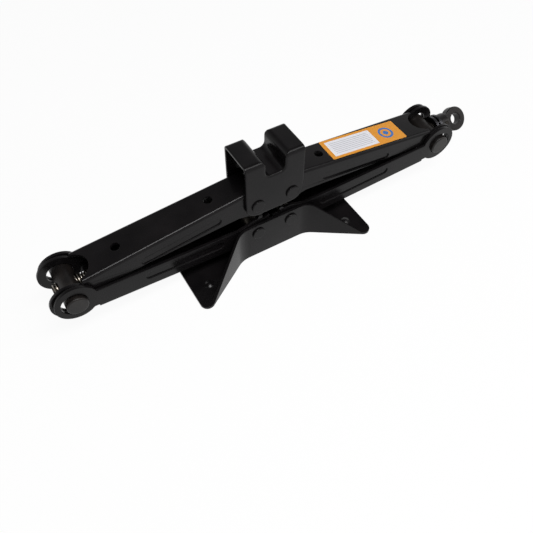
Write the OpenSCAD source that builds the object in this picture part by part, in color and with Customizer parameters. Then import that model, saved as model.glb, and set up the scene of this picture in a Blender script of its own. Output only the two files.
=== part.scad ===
// Scissor jack, shown closed. Four pressed channel arms are geared together at their inner ends and
// riveted to a pressed base and a notched saddle. A lead screw draws the two trunnions together.
// The origin is the middle of the base's underside, +X points to the drive eye and +Z is up.

/* [Linkage] */
// Half the distance between the two pivots of the base, and between those of the saddle
pivot_half = 15; // [14:0.5:17]
// Height of the base pivots above the ground
base_pivot_z = 26; // [24:0.5:30]
// Height of the saddle pivots above the base pivots, jack closed
closed_rise = 31; // [30:0.5:36]
// Distance from the middle of the jack to each trunnion, jack closed
trunnion_x = 162; // [140:1:190]

/* [Arms] */
// Thickness of the arm sheet
arm_sheet = 2.5; // [2:0.1:3]
// Distance from the pivot line to the outside of the web
web_h = 14; // [13.5:0.1:16]
// Outside radius of the bend between web and flange
arm_bend_r = 3; // [2.6:0.1:4]
// Half width over the flanges at the pivots
arm_pivot_half_w = 12.6; // [11:0.1:14]
// Half width over the ears of the upper arms
upper_ear_half_w = 15.2; // [14:0.1:17]
// Gap between the ears of an upper arm and those of a lower arm
ear_side_gap = 0.9; // [0.65:0.05:1.2]
// Distance of the flange edges from the plane where the arms close, at the end of the ramp
closing_gap = 7; // [6:0.1:8]
// Distance of an upper arm's flange edges from that plane, at the ears
outer_closing_gap = 1; // [0.8:0.1:4]
// Height of a lower arm's flange edges above the pivot line, at the ears
lower_flange_rise = 5; // [2:0.1:5.5]
// How far above the round of the bend the flange edges run on past the end of the web
bend_relief = 0.3; // [0.2:0.1:1]
// Distance from a pivot to the end of the ramp that climbs from the flange edge to the teeth
ramp_end = 16; // [13:0.5:20]
// Diameter of the two round holes in the web of an upper arm
web_hole_d = 7; // [5:0.5:9]
// Distance from a pivot to the first web hole
web_hole_near = 32.5; // [28:0.5:40]
// Distance from a trunnion to the second web hole
web_hole_far = 41; // [32:0.5:48]
// Depth of the round notch in the web, measured inboard from the trunnion
notch_reach = 20; // [15:0.5:22]
// Width of the round notch in the web
notch_w = 23; // [17:0.5:24]
// Distance from the straight part of the ears back to the end of an upper arm's web
web_setback = 1.5; // [1.2:0.1:4]
// Gap between the end of a lower arm's web and the upper arm's ears that swing past it
ear_swing_gap = 1.5; // [0.5:0.1:3]

/* [Flange ribs] */
// Distance from a pivot to the start of the pressed rib
rib_start = 30; // [26:1:40]
// Distance from a trunnion to the end of the pressed rib
rib_end = 52; // [44:1:70]
// Width of the pressed rib
rib_w = 7; // [5:0.5:9]
// How far the rib is pressed into the flange
rib_depth = 1; // [0.6:0.1:1.4]
// Distance of the rib's middle line from the pivot line, towards the web
rib_shift = 1.5; // [0.5:0.5:4]

/* [Gear ends] */
// Teeth that a full circle would have
gear_teeth = 12; // [10:2:14]
// Pressure angle of the teeth, in degrees
gear_pressure = 25; // [20:1:28]
// Height of a tooth above the pitch circle
gear_addendum = 1.8; // [1.4:0.1:2.2]
// Depth of a tooth space below the pitch circle
gear_dedendum = 2.5; // [2.2:0.1:3]
// Play between two meshing teeth, along the pitch circle
gear_backlash = 0.5; // [0.3:0.1:0.8]
// Gap between the teeth of an upper arm and the closing plane
gear_closing_gap = 0.4; // [0.3:0.1:1]

/* [Ears and trunnions] */
// Radius of the round ears
ear_r = 15.75; // [14.5:0.25:18]
// Radius of the trunnions, whose ends are the journals
journal_r = 8; // [7.75:0.25:9]
// How far the middle of an upper arm's ear lies outboard of the trunnion
upper_ear_offset = 2; // [1:0.25:3]
// How far the middle of a lower arm's ear lies outboard of the trunnion
lower_ear_offset = 0; // [-1:0.25:2]
// How far the middle of the hole in an ear lies outboard of the trunnion
ear_hole_offset = 1.5; // [0.5:0.25:2]
// Play between a journal and the inboard side of its hole
ear_play = 0.2; // [0.15:0.05:0.5]
// How far a journal stands out of the lower arm's ear
journal_out = 3; // [2:0.5:8]
// Gap between the flat under the thrust bearing and the ears
flat_end_gap = 0.3; // [0.2:0.05:0.6]
// Distance from the trunnion's middle to the flat under the thrust bearing
bearing_flat = 7; // [6:0.25:7.5]
// Bevel on the edges of turned ends
turned_bevel = 0.8; // [0.4:0.1:1.2]

/* [Rivets] */
// Radius of the rivet shanks
rivet_r = 4.4; // [4:0.1:4.8]
// Radius of the rivet heads
rivet_head_r = 5.5; // [5.2:0.1:7]
// Thickness of the rivet heads
rivet_head_h = 1.4; // [1:0.1:2.5]
// Bevel on the rim of a rivet head
rivet_bevel = 0.4; // [0.2:0.1:0.8]
// Play between a rivet and the sheet that it clamps
rivet_fit = 0.05; // [0.03:0.01:0.1]
// Play between a rivet and the arm or spacer that turns on it
pivot_play = 0.15; // [0.1:0.05:0.3]
// Wall thickness of the spacer tube on each rivet
spacer_wall = 2; // [1.5:0.1:2.5]
// Gap between each end of a spacer tube and the flange beside it
spacer_gap = 0.2; // [0.1:0.05:0.5]

/* [Base] */
// Thickness of the base sheet
base_sheet = 2.5; // [2:0.1:3]
// Half the length of the base
base_half_len = 80; // [72:0.5:90]
// Half the length of the straight waist
waist_half_len = 30; // [28:0.5:36]
// Half the width between the sharp corners of a foot, before they are rounded
foot_half_w = 49; // [42:0.5:56]
// Radius between the waist and the splayed sides
waist_fillet_r = 20; // [12:1:28]
// Radius of the foot's corners
foot_r = 6; // [4:0.5:9]
// Height of the walls at the waist
base_wall_h = 34.5; // [33:0.5:36]
// Half the length of the level top edge of the walls
wall_top_half = 32.5; // [28:0.5:34]
// Distance from the middle to where the walls run out
wall_run_out = 70; // [64:0.5:70]
// Radius at the shoulders of the walls
wall_shoulder_r = 14; // [8:1:20]
// Gap between a wall of the base or saddle and the arm inside it
wall_gap = 0.7; // [0.6:0.05:1]
// Distance of a foot's round stud from the middle of the jack
stud_x = 65.5; // [60:0.5:70]
// Distance of a foot's round stud from the middle line
stud_y = 24.5; // [20:0.5:28]
// Radius of the stud where it leaves the plate
stud_r = 4.5; // [3:0.1:5.5]
// Height of the stud above the plate
stud_h = 1.6; // [1:0.1:2.4]

/* [Saddle] */
// Thickness of the saddle sheet
saddle_sheet = 2.5; // [2:0.1:3]
// Height of the saddle's top above its pivots
saddle_h = 41; // [36:0.5:48]
// Radius of the saddle's sides round the rivets
saddle_lug_r = 10; // [8.5:0.5:12]
// Width of the notch across the top
groove_w = 16; // [12:0.5:20]
// Depth of the notch across the top
groove_depth = 15; // [10:0.5:18]
// Radius at the foot of the notch
groove_foot_r = 4; // [2:0.5:5]
// Radius at the mouth of the notch
groove_mouth_r = 5; // [2:0.5:6]
// Outside radius of the long top edges
saddle_bend_r = 3.5; // [3:0.5:5]

/* [Screw and drive] */
// Radius of the lead screw over its thread
screw_r = 5; // [4.75:0.25:6]
// How far the screw stands out past the nut's trunnion
screw_tail = 11; // [10.5:0.5:20]
// Play between the screw and the nut, and between the screw and the plain trunnion
screw_play = 0.2; // [0.15:0.05:0.4]
// Outside radius of the thrust bearing
bearing_r = 10.5; // [9.5:0.25:12]
// Thickness of a bearing race
race_h = 2.4; // [2:0.1:3]
// Radius of a bearing ball
ball_r = 1.6; // [1.2:0.1:1.8]
// Play between a ball and its grooves
ball_play = 0.05; // [0.03:0.01:0.1]
// Distance between the two races
race_gap = 1.9; // [1.6:0.1:2.2]
// Radius of the eye's hub
hub_r = 9; // [8:0.25:10]
// Length of the eye's hub
hub_len = 9; // [8:0.5:14]
// Radius of the screw's end inside the hub
spigot_r = 4; // [3:0.25:4.5]
// Radius of the pin through the hub
pin_r = 1.5; // [1:0.1:2]
// Distance from the hub's end to the middle of the eye
eye_reach = 10.2; // [8:0.1:13]
// Outside radius of the eye
eye_r = 10.5; // [9.5:0.25:12.5]
// Radius of the hole in the eye
eye_hole_r = 4.9; // [4:0.1:6]
// Thickness of the eye
eye_h = 8; // [6:0.5:9]
// Width of the neck between hub and eye
neck_w = 14; // [11:0.5:16]
// Turn of the eye about the screw, in degrees
eye_turn = 42; // [0:1:90]

/* [Hidden] */
$fn = 64;
black = [0.10, 0.10, 0.11];
steel = [0.62, 0.60, 0.55];
bright = [0.72, 0.72, 0.74];

// room that cuts reach past the faces they cut
past = 1;
far = 60;

// how far the round of an arm's bend lies outside the faces that it joins
bend_ease = 0.05;

// linkage, jack closed
saddle_pivot_z = base_pivot_z + closed_rise;
trunnion_z = base_pivot_z + closed_rise / 2;
arm_run = trunnion_x - pivot_half;
arm_len = norm([arm_run, closed_rise / 2]);
arm_tilt = atan2(closed_rise / 2, arm_run);
upper_ear_x = arm_len + upper_ear_offset;
lower_ear_x = arm_len + lower_ear_offset;
ear_hole_x = arm_len + ear_hole_offset;
ear_hole_r = journal_r + ear_hole_offset + ear_play;

// widths, from the middle plane outwards
lower_ear_half_w = upper_ear_half_w + ear_side_gap + arm_sheet;
wall_inner = arm_pivot_half_w + wall_gap;
base_half_w = wall_inner + base_sheet;
saddle_half_w = wall_inner + saddle_sheet;
flat_half_w = upper_ear_half_w - arm_sheet - flat_end_gap;
journal_y = lower_ear_half_w + journal_out;
spacer_half = arm_pivot_half_w - arm_sheet - spacer_gap;

// the flanges spread from the pivot to this distance from it
spread_end = arm_len - journal_r - past;

// the webs end at these distances from the pivot; the lower one clears the upper arm's ears
upper_web_len = spread_end - web_setback;
ear_swing = upper_ear_offset + ear_r + ear_swing_gap;
lower_web_len = arm_len - sqrt(ear_swing * ear_swing - pow(web_h - arm_sheet, 2));

// gear ends
pitch_r = pivot_half;
root_r = pitch_r - gear_dedendum;
tip_r = pitch_r + gear_addendum;
tooth_base_r = pitch_r * cos(gear_pressure);
tooth_step = 360 / gear_teeth;
mesh_angle = 180 - arm_tilt;

// base
splay = atan2(foot_half_w - base_half_w, base_half_len - waist_half_len);

// saddle
saddle_half_len = pivot_half + saddle_lug_r;
saddle_top_z = saddle_pivot_z + saddle_h;
groove_z = saddle_top_z - groove_depth;

// screw, bearing and eye, from the plain trunnion outwards
race_bore_r = screw_r + 2 * screw_play;
ball_track_r = (race_bore_r + bearing_r) / 2;
ball_count = floor(180 / asin(ball_r * 1.04 / ball_track_r));
race_1_x = trunnion_x + bearing_flat;
ball_x = race_1_x + race_h + race_gap / 2;
race_2_x = race_1_x + race_h + race_gap;
hub_x = race_2_x + race_h;
eye_x = hub_x + hub_len + eye_reach;
pin_x = hub_x + hub_len / 2;

// Extrudes a side outline, drawn as (x, z), across the width
module across(half_w) {
    rotate([90, 0, 0]) linear_extrude(2 * half_w, center = true) children();
}

// Extrudes a cross-section, drawn as (y, z), along X from x0 to x1
module along(x0, x1) {
    translate([x0, 0, 0]) rotate([90, 0, 90]) linear_extrude(x1 - x0) children();
}

// Lays a shape that was turned about Z along the X axis, from x onwards
module on_screw(x) {
    translate([x, 0, trunnion_z]) rotate([0, 90, 0]) children();
}

// What a round of radius r takes off an outside corner at p, whose edges leave at two angles
module corner_sliver(p, a1, a2, r) {
    half = (a2 - a1) / 2;
    reach = r / tan(half);
    inwards = [cos(a1 + half), sin(a1 + half)];
    middle = p + r / sin(half) * inwards;
    difference() {
        polygon([p - past * inwards, p + reach * [cos(a1), sin(a1)], middle, p + reach * [cos(a2), sin(a2)]]);
        translate(middle) circle(r);
    }
}

// Half the angle that a tooth fills at radius r, its flank being an involute
function involute(r) = let (a = acos(tooth_base_r / r)) tan(a) * 180 / PI - a;
tooth_half = tooth_step / 4 - gear_backlash / 4 / pitch_r * 180 / PI;
function tooth_angle(r) = tooth_half + involute(pitch_r) - involute(r);

// One gear tooth, pointing along X
module tooth() {
    radii = [tooth_base_r, (tooth_base_r + pitch_r) / 2, pitch_r, (pitch_r + tip_r) / 2, tip_r];
    low = [for (r = radii) r * [cos(tooth_angle(r)), -sin(tooth_angle(r))]];
    high = [for (i = [len(radii) - 1 : -1 : 0]) [low[i].x, -low[i].y]];
    foot = (root_r - past) * [cos(tooth_angle(tooth_base_r)), sin(tooth_angle(tooth_base_r))];
    polygon(concat([[foot.x, -foot.y]], low, high, [foot]));
}

// Height of the closing plane above the pivot line of an arm, at distance x from its pivot
function closing_z(x) = (arm_len - x) * tan(arm_tilt);
function edge_z(x) = closing_z(x) - closing_gap / cos(arm_tilt);

// Side outline of an arm: the pivot is at the origin, the trunnion on +X and the web below. The flange
// edge runs from the ramp to outer_z at the ear, whose middle is at ear_x.
module arm_side(ear_x, web_len, outer_z, first_tooth, teeth) {
    polygon([
        [0, -web_h], [web_len, -web_h], [web_len, arm_bend_r + bend_relief - web_h],
        [ear_x, arm_bend_r + bend_relief - web_h], [ear_x, outer_z],
        [ramp_end, edge_z(ramp_end)], [0, root_r]
    ]);
    intersection() {
        union() {
            circle(root_r);
            for (i = [0 : teeth - 1])
                rotate(mesh_angle + first_tooth - i * tooth_step) tooth();
        }
        polygon([
            [-far, -far], [arm_len, -far],
            [arm_len, -gear_closing_gap], [-far, closing_z(-far) - gear_closing_gap]
        ]);
    }
    translate([ear_x, 0]) circle(ear_r);
}

// Side outline of the pressed rib on a flange
module rib_side() {
    x1 = rib_start + rib_w / 2;
    x2 = arm_len - rib_end - rib_w / 2;
    translate([x1, -rib_shift - rib_w / 2]) square([x2 - x1, rib_w]);
    for (x = [x1, x2])
        translate([x, -rib_shift]) circle(rib_w / 2);
}

// Plan of one flange, which spreads from the pivot to the ear, moved outwards by out
module flange_plan(ear_half_w, out) {
    line = [
        [-far, arm_pivot_half_w], [0, arm_pivot_half_w],
        [spread_end, ear_half_w], [arm_len + far, ear_half_w]
    ];
    outer = [for (p = line) p + [0, out]];
    inner = [for (i = [len(line) - 1 : -1 : 0]) line[i] + [0, out - arm_sheet]];
    polygon(concat(outer, inner));
}

// The flange on the +Y side of an arm, with its pressed rib
module flange(ear_half_w, ear_x, web_len, outer_z, first_tooth, teeth) {
    intersection() {
        linear_extrude(2 * far, center = true) flange_plan(ear_half_w, 0);
        across(far) difference() {
            arm_side(ear_x, web_len, outer_z, first_tooth, teeth);
            rib_side();
        }
    }
    intersection() {
        linear_extrude(2 * far, center = true) flange_plan(ear_half_w, -rib_depth);
        across(far) rib_side();
    }
}

// Half width of an arm over its spreading flanges, at distance x from the pivot
function half_w_at(x, ear_half_w) = arm_pivot_half_w + (ear_half_w - arm_pivot_half_w) * x / spread_end;

// The web, from the pivot to x_end
module web(ear_half_w, x_end) {
    end_half_w = half_w_at(x_end, ear_half_w);
    translate([0, 0, -web_h]) linear_extrude(arm_sheet) polygon([
        [0, -arm_pivot_half_w], [x_end, -end_half_w],
        [x_end, end_half_w], [0, arm_pivot_half_w]
    ]);
}

// What the round of the bend takes off the +Y edge of a web that ends at x_end. The round lies a
// touch outside both faces, so that it crosses them instead of running along them.
module bend_cut(ear_half_w, x_end) {
    start = [-past, half_w_at(-past, ear_half_w)];
    run = [x_end + past, half_w_at(x_end + past, ear_half_w)] - start;
    middle = arm_bend_r - bend_ease;
    translate([start.x, start.y, -web_h]) rotate([0, 0, atan2(run.y, run.x)]) difference() {
        translate([0, -middle, -past]) cube([norm(run), middle + past, middle + past]);
        translate([-past, -middle, middle]) rotate([0, 90, 0])
            cylinder(r = arm_bend_r, h = norm(run) + 2 * past);
    }
}

// The round-bottomed notch that lets the trunnion and screw through the web
module web_notch() {
    x = arm_len - notch_reach + notch_w / 2;
    translate([0, 0, -web_h - past]) linear_extrude(arm_sheet + 2 * past) {
        translate([x, 0]) circle(d = notch_w);
        translate([x, -notch_w / 2]) square([far, notch_w]);
    }
}

// The two round holes in the web
module web_holes() {
    for (x = [web_hole_near, arm_len - web_hole_far])
        translate([x, 0, -web_h - past]) cylinder(d = web_hole_d, h = arm_sheet + 2 * past);
}

// An arm with its pivot at the origin, its trunnion on +X and its web below
module arm(ear_half_w, ear_x, web_len, outer_z, first_tooth, teeth) {
    difference() {
        union() {
            web(ear_half_w, web_len);
            for (side = [0, 1])
                mirror([0, side, 0]) flange(ear_half_w, ear_x, web_len, outer_z, first_tooth, teeth);
        }
        for (side = [0, 1])
            mirror([0, side, 0]) bend_cut(ear_half_w, web_len);
        across(far) circle(rivet_r + pivot_play);
        translate([ear_hole_x, 0, 0]) across(far) circle(ear_hole_r);
    }
}

module upper_arm(first_tooth, teeth) {
    outer_z = closing_z(upper_ear_x) - outer_closing_gap;
    difference() {
        arm(upper_ear_half_w, upper_ear_x, upper_web_len, outer_z, first_tooth, teeth);
        web_notch();
        web_holes();
    }
}

module lower_arm(first_tooth, teeth) {
    arm(lower_ear_half_w, lower_ear_x, lower_web_len, lower_flange_rise, first_tooth, teeth);
}

// Places an arm of the right-hand side on its base pivot or its saddle pivot
module at_base_pivot() {
    translate([pivot_half, 0, base_pivot_z]) rotate([0, -arm_tilt, 0]) children();
}

module at_saddle_pivot() {
    translate([pivot_half, 0, saddle_pivot_z]) rotate([0, arm_tilt, 0]) mirror([0, 0, 1]) children();
}

// The right-hand arms have a tooth on the line of centres and the left-hand ones a space
module lower_arm_right() { color(black) at_base_pivot() lower_arm(0, 3); }
module lower_arm_left() { color(black) mirror([1, 0, 0]) at_base_pivot() lower_arm(tooth_step / 2, 4); }
module upper_arm_right() { color(black) at_saddle_pivot() upper_arm(0, 3); }
module upper_arm_left() { color(black) mirror([1, 0, 0]) at_saddle_pivot() upper_arm(tooth_step / 2, 4); }

// The corner between waist and splayed side on the +X +Y quarter, the base being drawn in by inset
function waist_corner(inset) = [waist_half_len + inset * tan(splay / 2), base_half_w - inset];
function splay_y(x, inset) = waist_corner(inset).y + (x - waist_corner(inset).x) * tan(splay);

// What the pinched waist takes off the +Y side of the base, the base being drawn in by inset
module waist_cut(inset) {
    waist = waist_corner(inset);
    top_x = base_half_len + past;
    top_y = splay_y(top_x, inset);
    difference() {
        polygon([waist, [top_x, top_y], [-top_x, top_y], [-waist.x, waist.y]]);
        for (side = [0, 1])
            mirror([side, 0]) corner_sliver(waist, splay, 180, waist_fillet_r + inset);
    }
}

// Plan of the base
module base_plan() {
    end_y = splay_y(base_half_len, 0);
    difference() {
        square(2 * [base_half_len, end_y + past / 2], center = true);
        for (side = [0, 1])
            mirror([0, side]) waist_cut(0);
        for (sx = [0, 1], sy = [0, 1])
            mirror([sx, 0]) mirror([0, sy])
                corner_sliver([base_half_len, end_y], 180 + splay, 270, foot_r);
    }
}

// A low dome of foot radius r and height h
module stud(r, h) {
    ball = (r * r + h * h) / (2 * h);
    intersection() {
        translate([0, 0, h - ball]) sphere(ball);
        translate([0, 0, -past / 2]) cylinder(r = r + past, h = h + past);
    }
}

// The wall along the +Y side of the base, level at the waist and running out towards the feet
module base_wall() {
    slope = atan2(base_wall_h - base_sheet, wall_run_out - wall_top_half);
    difference() {
        intersection() {
            linear_extrude(base_wall_h + past) difference() {
                waist_cut(base_sheet);
                waist_cut(0);
            }
            across(far) polygon([
                [-wall_run_out, -past], [wall_run_out, -past], [wall_run_out, base_sheet],
                [wall_top_half, base_wall_h], [-wall_top_half, base_wall_h], [-wall_run_out, base_sheet]
            ]);
        }
        for (side = [0, 1])
            mirror([side, 0, 0])
                across(far) corner_sliver([wall_top_half, base_wall_h], 180, 360 - slope, wall_shoulder_r);
    }
}

module base_plate() {
    color(black) difference() {
        union() {
            linear_extrude(base_sheet) base_plan();
            for (side = [0, 1])
                mirror([0, side, 0]) base_wall();
            for (x = [-stud_x, stud_x], y = [-stud_y, stud_y])
                translate([x, y, base_sheet]) stud(stud_r, stud_h);
        }
        for (x = [-pivot_half, pivot_half])
            translate([x, 0, base_pivot_z]) across(far) circle(rivet_r + rivet_fit);
    }
}

// Half of the notch across the saddle, as (x, z) from its middle, grown by out
module groove_half(out) {
    half = groove_w / 2 + out;
    top = groove_depth + past;
    difference() {
        translate([0, -out]) square([half, top + out]);
        corner_sliver([half, -out], 90, 180, groove_foot_r + out);
    }
}

// Side outline of the saddle
module saddle_side() {
    difference() {
        union() {
            translate([-saddle_half_len, saddle_pivot_z]) square([2 * saddle_half_len, saddle_h]);
            translate([-pivot_half, saddle_pivot_z - saddle_lug_r]) square([2 * pivot_half, saddle_lug_r]);
            for (x = [-pivot_half, pivot_half])
                translate([x, saddle_pivot_z]) circle(saddle_lug_r);
        }
        for (side = [0, 1]) mirror([side, 0]) {
            translate([0, groove_z]) groove_half(0);
            corner_sliver([groove_w / 2, saddle_top_z], 270, 360, groove_mouth_r);
        }
    }
}

// Side outline of the space under the saddle's sheet
module saddle_inside() {
    low = saddle_pivot_z - saddle_lug_r - past;
    difference() {
        translate([-saddle_half_len - past, low])
            square([2 * (saddle_half_len + past), saddle_top_z - saddle_sheet - low]);
        for (side = [0, 1])
            mirror([side, 0]) translate([0, groove_z]) groove_half(saddle_sheet);
    }
}

// Cross-section of the saddle's outside, with round top edges
module saddle_section() {
    low = saddle_pivot_z - saddle_lug_r - past;
    difference() {
        translate([-saddle_half_w, low]) square([2 * saddle_half_w, saddle_top_z - low]);
        for (side = [0, 1])
            mirror([side, 0]) corner_sliver([saddle_half_w, saddle_top_z], 180, 270, saddle_bend_r);
    }
}

module saddle() {
    color(black) difference() {
        intersection() {
            across(saddle_half_w + past) saddle_side();
            along(-saddle_half_len - past, saddle_half_len + past) saddle_section();
        }
        across(wall_inner) saddle_inside();
        for (x = [-pivot_half, pivot_half])
            translate([x, 0, saddle_pivot_z]) across(far) circle(rivet_r + rivet_fit);
    }
}

// A rivet along Y, clamping walls whose outsides are half_grip from the middle
module rivet(half_grip) {
    end = half_grip + rivet_head_h;
    rim = rivet_head_r - rivet_bevel;
    rotate([90, 0, 0]) rotate_extrude() polygon([
        [0, -end], [rim, -end], [rivet_head_r, rivet_bevel - end], [rivet_head_r, -half_grip],
        [rivet_r, -half_grip], [rivet_r, half_grip],
        [rivet_head_r, half_grip], [rivet_head_r, end - rivet_bevel], [rim, end], [0, end]
    ]);
}

// A tube round a rivet that holds the two flanges of an arm apart
module spacer() {
    across(spacer_half) difference() {
        circle(rivet_r + pivot_play + spacer_wall);
        circle(rivet_r + pivot_play);
    }
}

module base_rivet_left() { color(black) translate([-pivot_half, 0, base_pivot_z]) rivet(base_half_w); }
module base_rivet_right() { color(black) translate([pivot_half, 0, base_pivot_z]) rivet(base_half_w); }
module base_spacer_left() { color(steel) translate([-pivot_half, 0, base_pivot_z]) spacer(); }
module base_spacer_right() { color(steel) translate([pivot_half, 0, base_pivot_z]) spacer(); }
module saddle_rivet_left() { color(black) translate([-pivot_half, 0, saddle_pivot_z]) rivet(saddle_half_w); }
module saddle_rivet_right() { color(black) translate([pivot_half, 0, saddle_pivot_z]) rivet(saddle_half_w); }
module saddle_spacer_left() { color(steel) translate([-pivot_half, 0, saddle_pivot_z]) spacer(); }
module saddle_spacer_right() { color(steel) translate([pivot_half, 0, saddle_pivot_z]) spacer(); }

// A round cross bar whose ends are the journals, with a bore for the screw
module trunnion() {
    rim = journal_r - turned_bevel;
    difference() {
        rotate([90, 0, 0]) rotate_extrude() polygon([
            [0, -journal_y], [rim, -journal_y], [journal_r, turned_bevel - journal_y],
            [journal_r, journal_y - turned_bevel], [rim, journal_y], [0, journal_y]
        ]);
        rotate([0, 90, 0]) cylinder(r = screw_r + screw_play, h = far, center = true);
    }
}

module trunnion_nut() { color(black) translate([-trunnion_x, 0, trunnion_z]) trunnion(); }

module trunnion_plain() {
    color(black) translate([trunnion_x, 0, trunnion_z]) difference() {
        trunnion();
        translate([bearing_flat, -flat_half_w, -far / 2]) cube([far, 2 * flat_half_w, far]);
    }
}

// One race of the thrust bearing, along Z, with its groove in the face at race_h
module race() {
    difference() {
        cylinder(r = bearing_r, h = race_h);
        translate([0, 0, -past]) cylinder(r = race_bore_r, h = race_h + 2 * past);
        translate([0, 0, race_h + race_gap / 2]) rotate_extrude()
            translate([ball_track_r, 0]) circle(ball_r + ball_play);
    }
}

module bearing_race_fixed() { color(bright) on_screw(race_1_x) race(); }
module bearing_race_turning() { color(bright) on_screw(hub_x) mirror([0, 0, 1]) race(); }

module bearing_balls() {
    color(bright) on_screw(ball_x)
        for (i = [0 : ball_count - 1])
            rotate(i * 360 / ball_count) translate([ball_track_r, 0, 0]) sphere(ball_r);
}

// The screw without its thread form: a bar as thick as the thread, and a spigot in the eye's hub
module lead_screw() {
    tail_x = -trunnion_x - screw_tail;
    color(steel) difference() {
        on_screw(tail_x) rotate_extrude() polygon([
            [0, 0], [screw_r - turned_bevel, 0], [screw_r, turned_bevel],
            [screw_r, hub_x - tail_x], [spigot_r, hub_x - tail_x],
            [spigot_r, hub_x + hub_len - tail_x], [0, hub_x + hub_len - tail_x]
        ]);
        pin_hole();
    }
}

// Turns a shape from the flat of the eye's own plane to its place about the screw
module in_eye_plane(x) {
    translate([x, 0, trunnion_z]) rotate([-eye_turn, 0, 0]) rotate([90, 0, 0]) children();
}

module pin_hole() {
    in_eye_plane(pin_x) cylinder(r = pin_r + rivet_fit, h = far, center = true);
}

module drive_eye() {
    rim = eye_r - turned_bevel;
    color(black) difference() {
        union() {
            on_screw(hub_x) rotate_extrude() polygon([
                [0, 0], [hub_r - turned_bevel, 0], [hub_r, turned_bevel],
                [hub_r, hub_len - turned_bevel], [hub_r - turned_bevel, hub_len], [0, hub_len]
            ]);
            in_eye_plane(eye_x) {
                rotate_extrude() polygon([
                    [0, -eye_h / 2], [rim, -eye_h / 2], [eye_r, turned_bevel - eye_h / 2],
                    [eye_r, eye_h / 2 - turned_bevel], [rim, eye_h / 2], [0, eye_h / 2]
                ]);
                translate([-eye_reach - hub_len / 2, -neck_w / 2, -eye_h / 2])
                    cube([eye_reach + hub_len / 2, neck_w, eye_h]);
            }
        }
        in_eye_plane(eye_x) cylinder(r = eye_hole_r, h = far, center = true);
        on_screw(hub_x - past) cylinder(r = spigot_r + rivet_fit, h = hub_len + past);
        pin_hole();
    }
}

module eye_pin() {
    color(bright) in_eye_plane(pin_x) cylinder(r = pin_r, h = 2 * hub_r, center = true);
}

base_plate();
base_rivet_left();
base_rivet_right();
base_spacer_left();
base_spacer_right();
lower_arm_left();
lower_arm_right();
upper_arm_left();
upper_arm_right();
saddle();
saddle_rivet_left();
saddle_rivet_right();
saddle_spacer_left();
saddle_spacer_right();
trunnion_nut();
trunnion_plain();
bearing_race_fixed();
bearing_balls();
bearing_race_turning();
lead_screw();
drive_eye();
eye_pin();
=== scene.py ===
"""Studio scene of a small scissor jack, closed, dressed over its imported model."""
from __future__ import annotations

import logging
import math
from collections.abc import Callable, Iterable
from dataclasses import dataclass, field
from enum import Enum

import bpy
from mathutils import Matrix, Vector


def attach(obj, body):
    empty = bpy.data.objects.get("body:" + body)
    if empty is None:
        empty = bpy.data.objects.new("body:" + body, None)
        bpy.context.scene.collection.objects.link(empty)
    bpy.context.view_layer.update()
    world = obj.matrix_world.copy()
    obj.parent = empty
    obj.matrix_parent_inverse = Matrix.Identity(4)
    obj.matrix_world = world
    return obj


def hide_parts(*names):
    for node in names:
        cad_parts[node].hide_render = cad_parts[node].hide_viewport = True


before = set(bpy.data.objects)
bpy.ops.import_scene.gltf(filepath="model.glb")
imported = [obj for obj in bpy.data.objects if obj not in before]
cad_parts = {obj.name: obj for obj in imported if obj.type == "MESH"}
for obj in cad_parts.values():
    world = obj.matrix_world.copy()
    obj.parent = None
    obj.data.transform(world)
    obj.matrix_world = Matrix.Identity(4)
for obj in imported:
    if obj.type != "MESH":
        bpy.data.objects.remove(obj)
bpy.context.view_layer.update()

LOG = logging.getLogger("scissor_jack")
MM = 0.001

# the linkage at rest, as in the part's own source, in metres
PIVOT_HALF = 15.0 * MM
BASE_PIVOT_Z = 26.0 * MM
SADDLE_PIVOT_Z = 57.0 * MM
SCREW_Z = 41.5 * MM
TRUNNION_X = 162.0 * MM
ARM_TILT = math.atan2(SADDLE_PIVOT_Z - SCREW_Z, TRUNNION_X - PIVOT_HALF)
# what the turned soft boxes face
JACK_MIDDLE = (0.0, 0.0, 50.0 * MM)
# points closer than this are one point, in a turned piece and in the copy of a node
SAME_POINT = 0.002 * MM
SAME_COPIED_POINT = 0.004 * MM
# faces of a copied node that differ by less than this are one flat face
SAME_PLANE = math.radians(0.6)


class Body(str, Enum):
    """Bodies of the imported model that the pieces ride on."""

    BASE = "base"
    LOWER_LEFT = "lower_arm_left"
    LOWER_RIGHT = "lower_arm_right"
    UPPER_LEFT = "upper_arm_left"
    UPPER_RIGHT = "upper_arm_right"
    SADDLE = "saddle"
    NUT = "trunnion_left"
    PLAIN = "trunnion_right"
    SCREW = "screw"


class Slot(str, Enum):
    """Material slots of the record, which the rounded pieces carry."""

    BLACK = "black_paint"
    BEARING = "bearing_steel"
    SCREW = "screw_steel"


def linear(hex_colour: str) -> tuple[float, float, float, float]:
    """Turns an sRGB hex colour to a linear one.

    Args:
        hex_colour: six hex digits with a leading hash.

    Returns:
        Red, green, blue and an alpha of 1.
    """
    parts = [int(hex_colour[i:i + 2], 16) / 255.0 for i in (1, 3, 5)]
    out = [c / 12.92 if c <= 0.04045 else ((c + 0.055) / 1.055) ** 2.4 for c in parts]
    return (out[0], out[1], out[2], 1.0)


def add_node(tree: bpy.types.NodeTree, kind: str, settings: dict | None = None,
             inputs: dict | None = None) -> bpy.types.Node:
    """Adds a node with its settings, and sets or links its inputs.

    Args:
        tree: the node tree that gets the node.
        kind: Blender's own name of the node.
        settings: properties of the node.
        inputs: values or output sockets by the name or number of the input.

    Returns:
        The new node.
    """
    node = tree.nodes.new(kind)
    for key, value in (settings or {}).items():
        setattr(node, key, value)
    for key, value in (inputs or {}).items():
        if isinstance(value, bpy.types.NodeSocket):
            tree.links.new(value, node.inputs[key])
        else:
            node.inputs[key].default_value = value
    return node


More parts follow.
